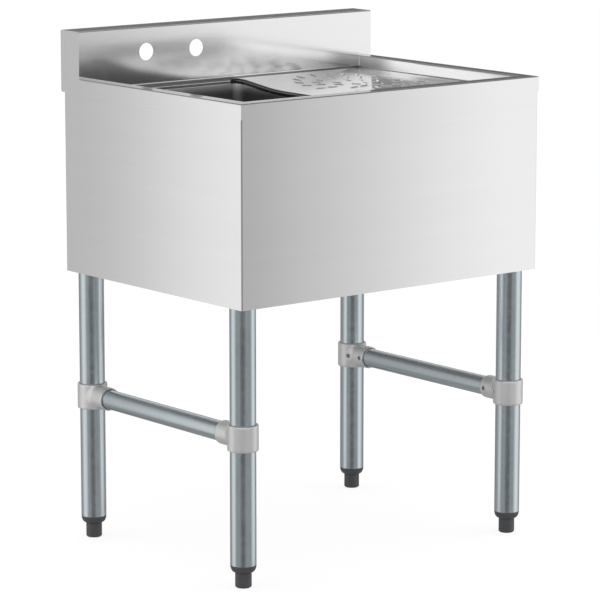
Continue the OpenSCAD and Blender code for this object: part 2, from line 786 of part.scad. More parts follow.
deck_rim();
drainboard();
backsplash();
splash_end(-1);  // splash_end_left
splash_end(1);  // splash_end_right
bowl();
apron();
channel(-1);  // channel_left
channel(1);  // channel_right
drainboard_stiffener();
crossbar(-1);  // crossbar_left
crossbar(1);  // crossbar_right
tee_set_screws();
gusset_set_screws();
strainer_body();
strainer_gasket();
strainer_washer();
strainer_locknut();
basket();
basket_post();
basket_seal();
for (c = CORNERS) {
    leg_gusset(c);
    leg(c);
    tee_socket(c);
    foot_insert(c);
    foot(c);
    foot_stud(c);
}
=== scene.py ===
import math

import bpy
import numpy as np
from bpy.props import FloatProperty, FloatVectorProperty, PointerProperty
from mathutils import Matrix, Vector


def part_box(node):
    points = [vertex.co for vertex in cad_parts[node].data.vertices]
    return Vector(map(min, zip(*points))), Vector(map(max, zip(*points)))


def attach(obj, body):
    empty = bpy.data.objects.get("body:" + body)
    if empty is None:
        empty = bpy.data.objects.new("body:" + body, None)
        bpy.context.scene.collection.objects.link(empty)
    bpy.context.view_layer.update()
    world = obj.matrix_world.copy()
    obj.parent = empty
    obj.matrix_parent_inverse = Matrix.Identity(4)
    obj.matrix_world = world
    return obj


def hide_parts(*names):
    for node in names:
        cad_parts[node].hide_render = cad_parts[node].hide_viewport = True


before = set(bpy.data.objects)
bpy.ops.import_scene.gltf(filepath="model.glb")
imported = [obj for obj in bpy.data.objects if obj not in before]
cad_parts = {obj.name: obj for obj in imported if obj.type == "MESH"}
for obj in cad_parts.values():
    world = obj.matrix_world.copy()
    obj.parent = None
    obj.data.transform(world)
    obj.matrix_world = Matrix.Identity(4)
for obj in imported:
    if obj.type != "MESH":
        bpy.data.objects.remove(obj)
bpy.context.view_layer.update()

bl_info = {
    "name": "Drainer sink",
    "version": (1, 0, 0),
    "blender": (4, 5, 0),
    "location": "View3D > Sidebar > Sink",
    "description": "Finishes and shaped pieces of a free-standing sink with a dished drainboard",
    "category": "Object",
}

CORNERS = ("fl", "fr", "rl", "rr")
MM = 0.001
WHITE = (1.0, 1.0, 1.0, 1.0)

# Sizes of the sheet's folds and of the drain's seat in the bowl
SHEET = 1.2 * MM
RIM_WIDTH = 25.4 * MM
LEDGE_DROP = 19.5 * MM
SPLASH_DEPTH = 50.8 * MM
BOWL_FILLET = 16 * MM
BOWL_FALL = 5 * MM
HOLE_RADIUS = 44 * MM
SEAT_MARGIN = 3 * MM

# Places of the folds in the frame
RIM_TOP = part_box("deck_rim")[1].z
LEDGE = RIM_TOP - LEDGE_DROP
RIGHT_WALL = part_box("deck_rim")[1].x - RIM_WIDTH
BOWL_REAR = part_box("drainboard")[1].y
SPLASH_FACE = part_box("backsplash")[1].y - SPLASH_DEPTH

# Levels where masks rise or end, each with its start and its end
TOP_EDGE = (RIM_TOP - 2 * MM, RIM_TOP - 0.5 * MM)
TOP_END = (RIM_TOP + 8 * MM, RIM_TOP + 18 * MM)
LEDGE_EDGE = (LEDGE - 3 * MM, LEDGE - 2 * MM)
LEDGE_END = (LEDGE + 0.7 * MM, LEDGE + 6.5 * MM)
WALL_EDGE = (LEDGE - 0.5 * MM, LEDGE + 1.5 * MM)

# Beads in each ring of the drainboard, and the number of points along curved edges
BEAD_RINGS = (6, 11, 17, 22)
ROLL_STEPS = 6
LIP_ROWS = ROLL_STEPS + 3
ARC_STEPS = 10
CORNER_POINTS = 12
FILLET_STEPS = 8
WALL_STEPS = 10
FLOOR_STEPS = 14

# Level way from the sink to the camera, and the turns of the softboxes about the sink from +X
CAMERA_SIDE = (-0.62, -0.78, 0.0)
RIGHT_TURN = math.radians(-38.0)
LEFT_TURN = math.radians(145.0)

# Brightness of the softboxes at shares of their width
RIGHT_LEVELS = (
    (0.0, 0.05), (0.07, 0.12), (0.10, 0.20), (0.20, 0.38),
    (0.28, 0.56), (0.35, 0.68), (0.6, 0.7), (1.0, 0.3))
LEFT_LEVELS = (
    (0.0, 0.1), (0.27, 0.17), (0.32, 0.29), (0.39, 0.51),
    (0.44, 0.60), (0.52, 0.64), (0.75, 0.6), (1.0, 0.3))


class Value:
    """A shader socket that takes part in Python arithmetic, where each step adds a Math node."""

    def __init__(self, shade, socket):
        self.shade = shade
        self.socket = socket

    def _math(self, operation, first, second=0.0):
        return self.shade.node("ShaderNodeMath", {"operation": operation}, {0: first, 1: second})

    def __add__(self, other):
        return self._math("ADD", self, other)

    __radd__ = __add__

    def __sub__(self, other):
        return self._math("SUBTRACT", self, other)

    def __rsub__(self, other):
        return self._math("SUBTRACT", other, self)

    def __mul__(self, other):
        return self._math("MULTIPLY", self, other)

    __rmul__ = __mul__

    def absolute(self):
        return self._math("ABSOLUTE", self)

    def at_most(self, other):
        return self._math("MINIMUM", self, other)

    def at_least(self, other):
        return self._math("MAXIMUM", self, other)


class Shade:
    """A node tree of a material or the world."""

    def __init__(self, owner):
        owner.use_nodes = True
        self.owner = owner
        self.tree = owner.node_tree
        self.tree.nodes.clear()

    def node(self, kind, settings=None, inputs=None, output=0):
        """Adds a node: its settings are set first, then the values or links of its sockets."""
        made = self.tree.nodes.new(kind)
        for name, value in (settings or {}).items():
            if name == "stops":
                self._stops(made.color_ramp, value)
            else:
                setattr(made, name, value)
        for key, value in (inputs or {}).items():
            if isinstance(value, Value):
                self.tree.links.new(value.socket, made.inputs[key])
            else:
                made.inputs[key].default_value = value
        return Value(self, made.outputs[output]) if made.outputs else made

    def _stops(self, ramp, stops):
        while len(ramp.elements) < len(stops):
            ramp.elements.new(1.0)
        for element, (position, colour) in zip(ramp.elements, stops):
            element.position = position
            element.color = colour

    def blend(self, factor, first, second):
        """Mixes two numbers."""
        return first + factor * (second - first)

    def smooth(self, value, low, high):
        """Rises softly from 0 at the low number to 1 at the high one."""
        settings = {"interpolation_type": "SMOOTHSTEP"}
        values = {0: value, 1: low, 2: high, 3: 0.0, 4: 1.0}
        return self.node("ShaderNodeMapRange", settings, values)

    def within(self, value, rise, fall):
        """1 between two soft edges, each given by its start and its end."""
        return self.smooth(value, *rise) * (1.0 - self.smooth(value, *fall))

    def place(self):
        """Coordinates of the piece at rest, in metres."""
        return self.node("ShaderNodeTexCoord", output="Object")

    def vector_math(self, operation, inputs, output=0):
        return self.node("ShaderNodeVectorMath", {"operation": operation}, inputs, output)

    def scaled(self, vector, x, y, z):
        """A vector scaled by a number for each axis."""
        return self.vector_math("MULTIPLY", {0: vector, 1: (x, y, z)})

    def axis(self, vector, name):
        return self.node("ShaderNodeSeparateXYZ", None, {0: vector}, output=name)

    def noise(self, vector, scale, detail=2.0, roughness=0.5):
        values = {"Vector": vector, "Scale": scale, "Detail": detail, "Roughness": roughness}
        return self.node("ShaderNodeTexNoise", None, values, output="Fac")

    def toned(self, colour, tone):
        """A colour scaled by a number."""
        return self.vector_math("SCALE", {0: colour, "Scale": tone})

    def bump(self, strength, distance, height, **more):
        """The normal after a height; distance is the height's full scale in metres."""
        values = {"Strength": strength, "Distance": distance, "Height": height, **more}
        return self.node("ShaderNodeBump", None, values, output="Normal")

    def rays(self, *names):
        """1 for a ray of one of the named kinds, otherwise 0."""
        kinds = [self.node("ShaderNodeLightPath", output=name) for name in names]
        return sum(kinds[1:], kinds[0]).at_most(1.0)

    def finish(self, shader):
        """Joins a shader to the output that the owner needs."""
        kinds = {"World": "ShaderNodeOutputWorld", "AreaLight": "ShaderNodeOutputLight"}
        kind = kinds.get(type(self.owner).__name__, "ShaderNodeOutputMaterial")
        self.node(kind, None, {"Surface": shader})
        return self.owner


def new_shade(name):
    return Shade(bpy.data.materials.new(name))


def principled(shade, **values):
    """The finished material; underscores in a name stand for spaces."""
    sockets = {name.replace("_", " "): value for name, value in values.items()}
    return shade.finish(shade.node("ShaderNodeBsdfPrincipled", None, sockets))


class SinkSheetSettings(bpy.types.PropertyGroup):
    """Brushed and drawn stainless sheet."""

    colour: FloatVectorProperty(
        name="Sheet colour", description="Colour of the brushed sheet",
        subtype="COLOR", default=(0.85, 0.85, 0.855))
    board_colour: FloatVectorProperty(
        name="Drainboard colour", description="Colour of the drainboard",
        subtype="COLOR", default=(0.8, 0.8, 0.805))
    # Painted shade: the lip is the same sheet, given a dark colour that stands for the shade over
    # the bowl's edge
    lip_colour: FloatVectorProperty(
        name="Lip colour", description="Colour of the rolled lip over the bowl",
        subtype="COLOR", default=(0.13, 0.13, 0.135))
    # Painted shade: the bowl is the same steel as the sheet, given a darker colour that stands for
    # the shade inside it
    bowl_colour: FloatVectorProperty(
        name="Bowl colour", description="Colour of the drawn bowl",
        subtype="COLOR", default=(0.31, 0.31, 0.315))
    strainer_colour: FloatVectorProperty(
        name="Strainer colour", description="Colour of the strainer and its basket",
        subtype="COLOR", default=(0.62, 0.62, 0.63))
    roughness: FloatProperty(
        name="Roughness", description="Roughness of the brushed sheet",
        default=0.12, min=0.05, max=0.6)
    grain: FloatProperty(
        name="Grain", description="Height of the brushed grain",
        default=0.004 * MM, unit="LENGTH", precision=6)
    thickness: FloatProperty(
        name="Thickness", description="Thickness of the sheet", default=SHEET, unit="LENGTH")


class SinkDrainboardSettings(bpy.types.PropertyGroup):
    """Dished drainboard with pressed beads."""

    fall: FloatProperty(
        name="Fall", description="Fall from the perimeter to the low edge at the bowl",
        default=11.5 * MM, unit="LENGTH")
    border: FloatProperty(
        name="Border", description="Width of the sloping front and rear borders",
        default=97 * MM, unit="LENGTH")
    lip_roll: FloatProperty(
        name="Lip radius", description="Radius of the rolled lip over the bowl",
        default=2.5 * MM, unit="LENGTH")
    lip_drop: FloatProperty(
        name="Lip depth", description="Depth of the rolled lip", default=7 * MM, unit="LENGTH")
    corner: FloatProperty(
        name="Bowl corner", description="Radius of the bowl's upright corners",
        default=18 * MM, unit="LENGTH")
    bead_length: FloatProperty(
        name="Bead length", description="Length of a pressed bead", default=19 * MM, unit="LENGTH")
    bead_width: FloatProperty(
        name="Bead width", description="Width of a pressed bead", default=5.5 * MM, unit="LENGTH")
    bead_height: FloatProperty(
        name="Bead height", description="Height of a pressed bead",
        default=1.35 * MM, unit="LENGTH")
    pitch: FloatProperty(
        name="Mesh pitch", description="Distance between the mesh's rows",
        default=1.6 * MM, unit="LENGTH")


class SinkFrameSettings(bpy.types.PropertyGroup):
    """Tubes, castings and feet."""

    tube_colour: FloatVectorProperty(
        name="Tube colour", description="Colour of the galvanised tubes",
        subtype="COLOR", default=(0.59, 0.655, 0.685))
    casting_colour: FloatVectorProperty(
        name="Casting colour", description="Colour of the cast sockets",
        subtype="COLOR", default=(0.77, 0.77, 0.765))
    screw_colour: FloatVectorProperty(
        name="Screw colour", description="Colour of the set screws",
        subtype="COLOR", default=(0.35, 0.36, 0.37))
    stud_colour: FloatVectorProperty(
        name="Stud colour", description="Colour of the feet's studs",
        subtype="COLOR", default=(0.42, 0.43, 0.44))
    foot_colour: FloatVectorProperty(
        name="Foot colour", description="Colour of the moulded feet",
        subtype="COLOR", default=(0.085, 0.086, 0.092))
    rubber_colour: FloatVectorProperty(
        name="Rubber colour", description="Colour of the seals",
        subtype="COLOR", default=(0.02, 0.02, 0.02))
    fibre_colour: FloatVectorProperty(
        name="Fibre colour", description="Colour of the friction washer",
        subtype="COLOR", default=(0.30, 0.21, 0.11))
    tube_roughness: FloatProperty(
        name="Tube roughness", description="Roughness of the galvanised tubes",
        default=0.24, min=0.1, max=0.7)


class SinkSocketSettings(bpy.types.PropertyGroup):
    """Cast tee sockets."""

    wall: FloatProperty(
        name="Wall", description="Wall of a socket", default=3.7 * MM, unit="LENGTH")
    fillet: FloatProperty(
        name="Fillet", description="Radius between the ring and the branch",
        default=5 * MM, unit="LENGTH")
    edge: FloatProperty(
        name="Edge", description="Radius of the outer edges", default=2 * MM, unit="LENGTH")
    mouth: FloatProperty(
        name="Mouth", description="Depth of the flare where a tube enters",
        default=1.6 * MM, unit="LENGTH")
    gap: FloatProperty(
        name="Gap", description="Gap round the tubes",
        default=0.15 * MM, unit="LENGTH", precision=5)
    screw_radius: FloatProperty(
        name="Screw radius", description="Radius of the set screws' holes",
        default=3.25 * MM, unit="LENGTH", precision=5)
    screw_turn: FloatProperty(
        name="Screw turn", description="Turn of the ring's screw from the inward side, in degrees",
        default=35.0)
    screw_inset: FloatProperty(
        name="Screw inset", description="Distance of the branch's screw from its end",
        default=9 * MM, unit="LENGTH")
    step: FloatProperty(
        name="Mesh step", description="Distance between the points of the mesh",
        default=1.5 * MM, unit="LENGTH")


class SinkStudioSettings(bpy.types.PropertyGroup):
    """Floor, lamps and camera."""

    floor_radius: FloatProperty(
        name="Floor radius", description="Radius of the floor", default=40.0, unit="LENGTH")
    floor_colour: FloatProperty(
        name="Floor colour", description="Grey level of the floor", default=0.92)
    surround: FloatProperty(
        name="Surround", description="Level of the light all round", default=0.62)
    lens: FloatProperty(name="Lens", description="Focal length in millimetres", default=193.85)
    camera_place: FloatVectorProperty(
        name="Camera place", description="Place of the camera",
        subtype="TRANSLATION", default=(-3.2541, -4.0665, 1.3484))
    camera_yaw: FloatProperty(
        name="Camera yaw", description="Turn of the camera from +Y",
        default=math.radians(-38.662), unit="ROTATION")
    camera_pitch: FloatProperty(
        name="Camera pitch", description="Tilt of the camera below level",
        default=math.radians(10.384), unit="ROTATION")
    dark_level: FloatProperty(
        name="Dark side", description="Level of the room low behind the camera, in reflections",
        default=0.1)
    rear_level: FloatProperty(
        name="Rear", description="Level of the low background behind the sink, in reflections",
        default=0.14)
    room_level: FloatProperty(
        name="Room", description="Level of the room, in reflections", default=0.36)
    ceiling_level: FloatProperty(
        name="Ceiling", description="Level of the ceiling, in reflections", default=0.2)
    wall_level: FloatProperty(
        name="Wall", description="Level of the pale wall behind the sink, in reflections",
        default=0.95)
    front_level: FloatProperty(
        name="Front", description="Level of the panel above the camera, in reflections",
        default=1.25)
    softbox_width: FloatProperty(
        name="Softbox width", description="Width of a softbox", default=1.8, unit="LENGTH")
    softbox_height: FloatProperty(
        name="Softbox height", description="Height of a softbox", default=2.0, unit="LENGTH")
    softbox_distance: FloatProperty(
        name="Softbox distance", description="Distance of a softbox from the sink",
        default=1.6, unit="LENGTH")


def duller(shade, place, flat, wall):
    """Painted shade: loss of tone of the sheet in four places, standing in for the dark things
    that they reflect.

    They are the rim's top, the ledge behind the bowl, the foot of the backsplash beside the
    drainboard and the rear end of the rim's right inner wall.
    """
    x, y, z = (shade.axis(place, name) for name in "XYZ")
    rim = flat * shade.within(z, TOP_EDGE, TOP_END)
    inside = 1.0 - shade.smooth(x.absolute(), RIGHT_WALL - 1.4 * MM, RIGHT_WALL - 0.4 * MM)
    ledge = inside * shade.within(z, LEDGE_EDGE, LEDGE_END)
    ledge = ledge * (1.0 - shade.smooth(x, 0.0, 20 * MM))
    ledge = ledge * shade.smooth(y, BOWL_REAR - 10 * MM, BOWL_REAR - 2 * MM)
    foot = inside * shade.smooth(y, SPLASH_FACE - 4.3 * MM, SPLASH_FACE - 1.3 * MM)
    foot = foot * shade.smooth(z, LEDGE - 1.5 * MM, LEDGE + 1.5 * MM)
    foot = foot * (1.0 - shade.smooth(z + x * 0.1, RIM_TOP + 10 * MM, RIM_TOP + 38 * MM))
    middle_loss, right_loss = 0.2, 0.36
    strength = shade.smooth(x, -50 * MM, 100 * MM) * middle_loss
    strength = strength + shade.smooth(x, 120 * MM, 220 * MM) * right_loss
    rear = wall * shade.smooth(y, 85 * MM, 145 * MM)
    rim_loss, ledge_loss, rear_loss = 0.44, 0.5, 0.6
    # Painted shade: each loss darkens the sheet's colour where it should reflect something dark
    loss = (rim * rim_loss).at_least(ledge * ledge_loss)
    return loss.at_least(rear * rear_loss).at_least(foot * strength)


def inner_wall(shade, place, normal):
    """1 on the rim's inner wall right of the drainboard."""
    inward = shade.smooth(0.0 - shade.axis(normal, "X"), 0.7, 0.9)
    right = shade.smooth(shade.axis(place, "X"), RIGHT_WALL - 20 * MM, RIGHT_WALL - 10 * MM)
    return inward * right * shade.within(shade.axis(place, "Z"), WALL_EDGE, TOP_EDGE)


def leaning_normal(shade, mask, lean):
    """The surface's normal, leaning up where a mask is 1."""
    masks = shade.node("ShaderNodeCombineXYZ", None, {0: mask, 1: mask, 2: mask})
    normal = shade.node("ShaderNodeNewGeometry", output="Normal")
    leaning = shade.vector_math("MULTIPLY_ADD", {0: (0.0, 0.0, lean), 1: masks, 2: normal})
    return shade.vector_math("NORMALIZE", {0: leaning})


def brushed_sheet(name, colour, roughness, grain):
    """Brushed stainless, with level grain on upright faces and grain along X on flat ones.

    The rim's right inner wall leans a little, so that it reflects the panel above the camera and
    not the drainboard before it.
    """
    shade = new_shade(name)
    place = shade.place()
    along, across = 5.0, 1500.0
    upright_grain = shade.noise(shade.scaled(place, along, along, across), 1.0, 3.0, 0.65)
    flat_grain = shade.noise(shade.scaled(place, along, across, along), 1.0, 3.0, 0.65)
    normal = shade.node("ShaderNodeNewGeometry", output="True Normal")
    flat = shade.smooth(shade.axis(normal, "Z").absolute(), 0.5, 0.8)
    lines = shade.blend(flat, upright_grain, flat_grain)
    band = shade.noise(shade.scaled(place, 1.5, 1.5, 60.0), 1.0, 2.0, 0.5)
    cloud = shade.noise(place, 9.0, 3.0, 0.55)
    wall = inner_wall(shade, place, normal)
    tone = (lines - 0.5) * 0.08 + (band - 0.5) * 0.03 + 1.0
    # Painted reflection: the right inner wall is painted paler; painted shade darkens four places
    tone = tone + wall * 0.12 - duller(shade, place, flat, wall)
    facing = leaning_normal(shade, wall, lean=0.21)
    return principled(
        shade, Base_Color=shade.toned(colour, tone), Metallic=0.86,
        Roughness=roughness + (lines - 0.5) * 0.06 + (cloud - 0.5) * 0.04,
        Normal=shade.bump(0.6, grain, lines * (1.0 - flat * 0.7), Normal=facing))


def drawn_sheet(name, colour, roughness, top=None):
    """Drawn stainless with a satin bloom and fine upright marks.

    Where its top's level is given, a painted reflection makes it paler just below the top, and
    painted light makes it paler in the depth.
    """
    shade = new_shade(name)
    place = shade.place()
    marks = shade.noise(shade.scaled(place, 700.0, 700.0, 8.0), 1.0, 3.0, 0.6)
    cloud = shade.noise(place, 14.0, 4.0, 0.6)
    tone = (marks - 0.5) * 0.10 + (cloud - 0.5) * 0.12 + 1.0
    if top is not None:
        # Painted reflection just below the top, and painted light in the depth
        height = shade.axis(place, "Z")
        deep = 1.0 - shade.smooth(height, top - 110 * MM, top - 80 * MM)
        tone = tone * (1.0 + shade.smooth(height, top - 24 * MM, top - 2 * MM) * 2.6 + deep * 1.2)
    return principled(
        shade, Base_Color=shade.toned(colour, tone), Metallic=1.0,
        Roughness=roughness + (cloud - 0.5) * 0.14 + (marks - 0.5) * 0.06,
        Normal=shade.bump(0.4, 0.004 * MM, marks))


def galvanised(name, colour, roughness, along="Z"):
    """Zinc-coated steel: faint spangle and streaks drawn along an axis."""
    shade = new_shade(name)
    place = shade.place()
    spangle = shade.node(
        "ShaderNodeTexVoronoi", None, {"Vector": place, "Scale": 140.0}, output="Color")
    flake = shade.axis(spangle, "X")
    stretch = {"Z": (420.0, 420.0, 3.0), "Y": (420.0, 3.0, 420.0)}[along]
    streak = shade.noise(shade.scaled(place, *stretch), 1.0, 2.0, 0.5)
    cloud = shade.noise(place, 11.0, 3.0, 0.6)
    tone = (flake - 0.5) * 0.03 + (streak - 0.5) * 0.06 + (cloud - 0.5) * 0.08 + 1.0
    return principled(
        shade, Base_Color=shade.toned(colour, tone), Metallic=1.0,
        Roughness=roughness + (flake - 0.5) * 0.04 + (cloud - 0.5) * 0.08,
        Normal=shade.bump(0.3, 0.01 * MM, streak))


def cast_metal(name, colour):
    """Dull casting with a fine sandy skin."""
    shade = new_shade(name)
    place = shade.place()
    sand = shade.noise(place, 900.0, 3.0, 0.6)
    cloud = shade.noise(place, 45.0, 3.0, 0.6)
    tone = (sand - 0.5) * 0.10 + (cloud - 0.5) * 0.10 + 1.0
    return principled(
        shade, Base_Color=shade.toned(colour, tone), Metallic=0.6,
        Roughness=0.4 + (sand - 0.5) * 0.12 + (cloud - 0.5) * 0.10,
        Normal=shade.bump(0.5, 0.06 * MM, sand))


def moulded(name, colour, roughness):
    """Moulded plastic or rubber with a fine texture and a slightly dusty bloom."""
    shade = new_shade(name)
    place = shade.place()
    pores = shade.noise(place, 1600.0, 2.0, 0.5)
    cloud = shade.noise(place, 60.0, 3.0, 0.6)
    return principled(
        shade, Base_Color=shade.toned(colour, (cloud - 0.5) * 0.22 + 1.0),
        Roughness=roughness + (cloud - 0.5) * 0.14 + (pores - 0.5) * 0.08,
        Normal=shade.bump(0.5, 0.03 * MM, pores))


def paint_nodes(material, *names):
    """Gives a material to CAD nodes."""
    for name in names:
        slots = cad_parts[name].data.materials
        slots.clear()
        slots.append(material)


def mesh_piece(name, points, faces, material, body):
    """A new smooth piece from points and faces, riding on a body."""
    mesh = bpy.data.meshes.new(name)
    mesh.from_pydata(points, [], faces)
    mesh.validate()
    mesh.shade_smooth()
    mesh.materials.append(material)
    piece = bpy.data.objects.new(name, mesh)
    bpy.context.scene.collection.objects.link(piece)
    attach(piece, body)
    return piece


def grid_faces(rows, columns, closed=False):
    """Quads between neighbouring rows of points; closed joins the last column to the first."""
    faces = []
    for r in range(rows - 1):
        for c in range(columns if closed else columns - 1):
            d = (c + 1) % columns
            low, high = r * columns, (r + 1) * columns
            faces.append((low + c, low + d, high + d, high + c))
    return faces


class Deck:
    """Sizes of the bowl opening and the drainboard, from the frame and the settings."""

    def __init__(self, settings):
        low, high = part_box("drainboard")
        self.left, self.right = low.x, high.x
        self.front, self.rear = low.y, high.y
        self.middle = (self.front + self.rear) / 2
        self.fall = settings.fall
        self.border = settings.border
        self.corner = settings.corner
        self.roll = settings.lip_roll
        self.drop = settings.lip_drop
        self.edge = self.left + self.corner
        self.run = self.right - self.edge
        self.bowl_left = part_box("bowl")[0].x + SHEET

    def depth(self, x, y):
        """Depth of the drainboard below the ledge, with its three slopes blended."""
        slopes = (
            self.fall * min(1.0, max(0.0, (self.right - x) / self.run)),
            self.fall * max(0.0, y - self.front) / self.border,
            self.fall * max(0.0, self.rear - y) / self.border)
        if min(slopes) <= 0.0001 * MM:
            return 0.0
        sharpness = 7
        return sum(s ** -sharpness for s in slopes) ** (-1 / sharpness)


def bead_rings(deck):
    """Centres and directions of the pressed beads, which point outwards in rounded rings."""
    shift, reach_x, reach_y = deck.run * 0.06, deck.run * 0.315, (deck.rear - deck.front) * 0.425
    centre = Vector(((deck.edge + deck.right) / 2 + shift, deck.middle))
    roundness = 0.72
    inmost = 0.75
    beads = []
    for k, count in enumerate(BEAD_RINGS):
        share = (k + inmost) / (len(BEAD_RINGS) - 1 + inmost)
        for i in range(count):
            turn = 2 * math.pi * (i + (k % 2) / 2) / count
            c, s = math.cos(turn), math.sin(turn)
            out = Vector((
                math.copysign(abs(c) ** roundness, c) * reach_x * share,
                math.copysign(abs(s) ** roundness, s) * reach_y * share))
            beads.append((centre + out, out.normalized()))
    return beads


def bead_height(point, beads, settings):
    """Height that the nearest bead adds at a point."""
    half = (settings.bead_length - settings.bead_width) / 2
    radius = settings.bead_width / 2
    reach = settings.bead_length
    for centre, along in beads:
        dx, dy = point[0] - centre.x, point[1] - centre.y
        if abs(dx) > reach or abs(dy) > reach:
            continue
        u = abs(dx * along.x + dy * along.y)
        v = dy * along.x - dx * along.y
        share = math.hypot(max(0.0, u - half), v) / radius
        if share < 1:
            return settings.bead_height * (0.5 + 0.5 * math.cos(math.pi * share))
    return 0.0


def lip_stations(deck, pitch):
    """Points along the drainboard's edge at the bowl, each with its level way from the bowl."""
    first = deck.front + deck.corner
    corner = Vector((deck.left, first))
    stations = []
    for i in range(ARC_STEPS):
        turn = math.pi / 2 * (1 - i / ARC_STEPS)
        normal = Vector((math.cos(turn), -math.sin(turn)))
        stations.append((corner + normal * deck.corner, normal))
    straight = deck.rear - deck.front - 2 * deck.corner
    rows = round(straight / pitch)
    for i in range(rows + 1):
        stations.append((Vector((deck.edge, first + straight * i / rows)), Vector((1.0, 0.0))))
    for point, normal in reversed(stations[:ARC_STEPS]):
        mirrored = Vector((point.x, 2 * deck.middle - point.y))
        stations.append((mirrored, Vector((normal.x, -normal.y))))
    return stations


def drainboard_mesh(deck, settings):
    """A row of points from each station of the rolled lip to the right edge."""
    beads = bead_rings(deck)
    stations = lip_stations(deck, settings.pitch)
    columns = round(deck.run / settings.pitch)
    tightest = 0.05 * MM
    points = []
    for point, normal in stations:
        room = min(point.y - deck.front, deck.rear - point.y) / max(1e-6, abs(normal.y))
        roll = min(deck.roll, max(tightest, room * 0.95))
        start = point + normal * roll
        height = LEDGE - deck.depth(point.x + normal.x * roll, point.y + normal.y * roll)
        points.append((point.x, point.y, height - deck.drop))
        points.append((point.x, point.y, height - (roll + deck.drop) / 2))
        points.append((point.x, point.y, height - roll * 1.15))
        for i in range(ROLL_STEPS):
            turn = math.pi / 2 * (1 - i / ROLL_STEPS)
            out = point + normal * roll * (1 - math.sin(turn))
            level = LEDGE - deck.depth(out.x, out.y)
            points.append((out.x, out.y, level - roll * (1 - math.cos(turn))))
        for j in range(columns + 1):
            here = (start.x + (deck.right - start.x) * j / columns, start.y)
            points.append((*here, LEDGE - deck.depth(*here) + bead_height(here, beads, settings)))
    return points, grid_faces(len(stations), LIP_ROWS + columns + 1)


def rounded_rectangle(low, high, corner, inset):
    """Points round an inset rectangle with round corners, at even turns about each corner."""
    radius = max(0.0, corner - inset)
    points = []
    for sx, sy, quarter in ((1, 1, 0), (-1, 1, 1), (-1, -1, 2), (1, -1, 3)):
        x = high.x if sx > 0 else low.x
        y = high.y if sy > 0 else low.y
        centre = Vector((x - sx * corner, y - sy * corner))
        for i in range(CORNER_POINTS):
            turn = math.pi / 2 * (quarter + i / (CORNER_POINTS - 1))
            points.append(centre + Vector((math.cos(turn), math.sin(turn))) * radius)
    return points


def fillet_rings(low, high, corner):
    """Outlines of the bowl from its walls in to its floor, all divided alike."""
    turns = [math.pi / 2 * i / FILLET_STEPS for i in range(FILLET_STEPS + 1)]
    insets = [BOWL_FILLET * (1 - math.cos(turn)) for turn in turns]
    outlines = [rounded_rectangle(low, high, corner, inset) for inset in insets]
    sides = [list(zip(outline, outline[1:] + outline[:1])) for outline in outlines]
    longest = 12 * MM
    steps = [max(1, math.ceil((b - a).length / longest)) for a, b in sides[0]]
    return [[a.lerp(b, i / count) for (a, b), count in zip(side, steps) for i in range(count)]
            for side in sides]


def bowl_mesh(deck, centre, seat, seat_radius):
    """Rings of points from the top of the walls to the edge of the drain's hole."""
    floor = seat + BOWL_FALL
    low, high = Vector((deck.bowl_left, deck.front)), Vector((deck.edge, deck.rear))
    rings = fillet_rings(low, high, deck.corner)
    top_ring, floor_ring = rings[0], rings[-1]
    boards = [deck.depth(p.x + deck.roll, p.y) if p.x > deck.left else 0.0 for p in top_ring]
    tops = [LEDGE - deck.drop - board for board in boards]
    wall_low = floor + BOWL_FILLET
    points = []
    for k in range(WALL_STEPS + 1):
        share = k / WALL_STEPS
        points += [(p.x, p.y, t + (wall_low - t) * share) for p, t in zip(top_ring, tops)]
    for k in range(1, FILLET_STEPS + 1):
        z = floor + BOWL_FILLET * (1 - math.sin(math.pi / 2 * k / FILLET_STEPS))
        points += [(p.x, p.y, z) for p in rings[k]]
    for k in range(1, FLOOR_STEPS + 1):
        share = k / FLOOR_STEPS
        z = floor + (seat - floor) * (share * share * (3 - 2 * share))
        for p in floor_ring:
            q = p.lerp(centre + (p - centre).normalized() * seat_radius, share)
            points.append((q.x, q.y, z))
    for p in floor_ring:
        q = centre + (p - centre).normalized() * HOLE_RADIUS
        points.append((q.x, q.y, seat))
    return points, grid_faces(len(points) // len(top_ring), len(top_ring), closed=True)


def surface_net(field, low, step):
    """Points and quads along the zero surface of a distance field that is sampled on a grid."""
    cells = np.array(field.shape) - 1
    total = np.zeros((*cells, 3))
    count = np.zeros(cells)
    quads = []
    for axis in range(3):
        along = field.shape[axis]
        first = np.take(field, range(along - 1), axis)
        second = np.take(field, range(1, along), axis)
        edges = np.argwhere((first < 0) != (second < 0))
        start, end = first[tuple(edges.T)], second[tuple(edges.T)]
        crossing = edges.astype(float)
        crossing[:, axis] += start / (start - end)
        around = []
        for u, v in ((0, 0), (-1, 0), (-1, -1), (0, -1)):
            cell = edges.copy()
            cell[:, (axis + 1) % 3] += u
            cell[:, (axis + 2) % 3] += v
            np.add.at(total, tuple(cell.T), crossing)
            np.add.at(count, tuple(cell.T), 1)
            around.append(np.ravel_multi_index(tuple(cell.T), cells))
        quad = np.stack(around, 1)
        quad[start > 0] = quad[start > 0][:, ::-1]
        quads.append(quad)
    used, index = np.unique(np.concatenate(quads), return_inverse=True)
    points = total.reshape(-1, 3)[used] / count.reshape(-1)[used, None] * step + low
    return points, index.reshape(-1, 4)


def rounded_solid(across, along, radius, half, edge):
    """Distance to a round bar with rounded ends, from the distances across and along its axis."""
    a, b = across - (radius - edge), np.abs(along) - (half - edge)
    outside = np.hypot(np.maximum(a, 0.0), np.maximum(b, 0.0))
    return np.minimum(np.maximum(a, b), 0.0) + outside - edge


def joined(first, second, radius):
    """Union of two distance fields with a fillet between them."""
    share = np.clip(0.5 + 0.5 * (second - first) / radius, 0.0, 1.0)
    return second + (first - second) * share - radius * share * (1.0 - share)


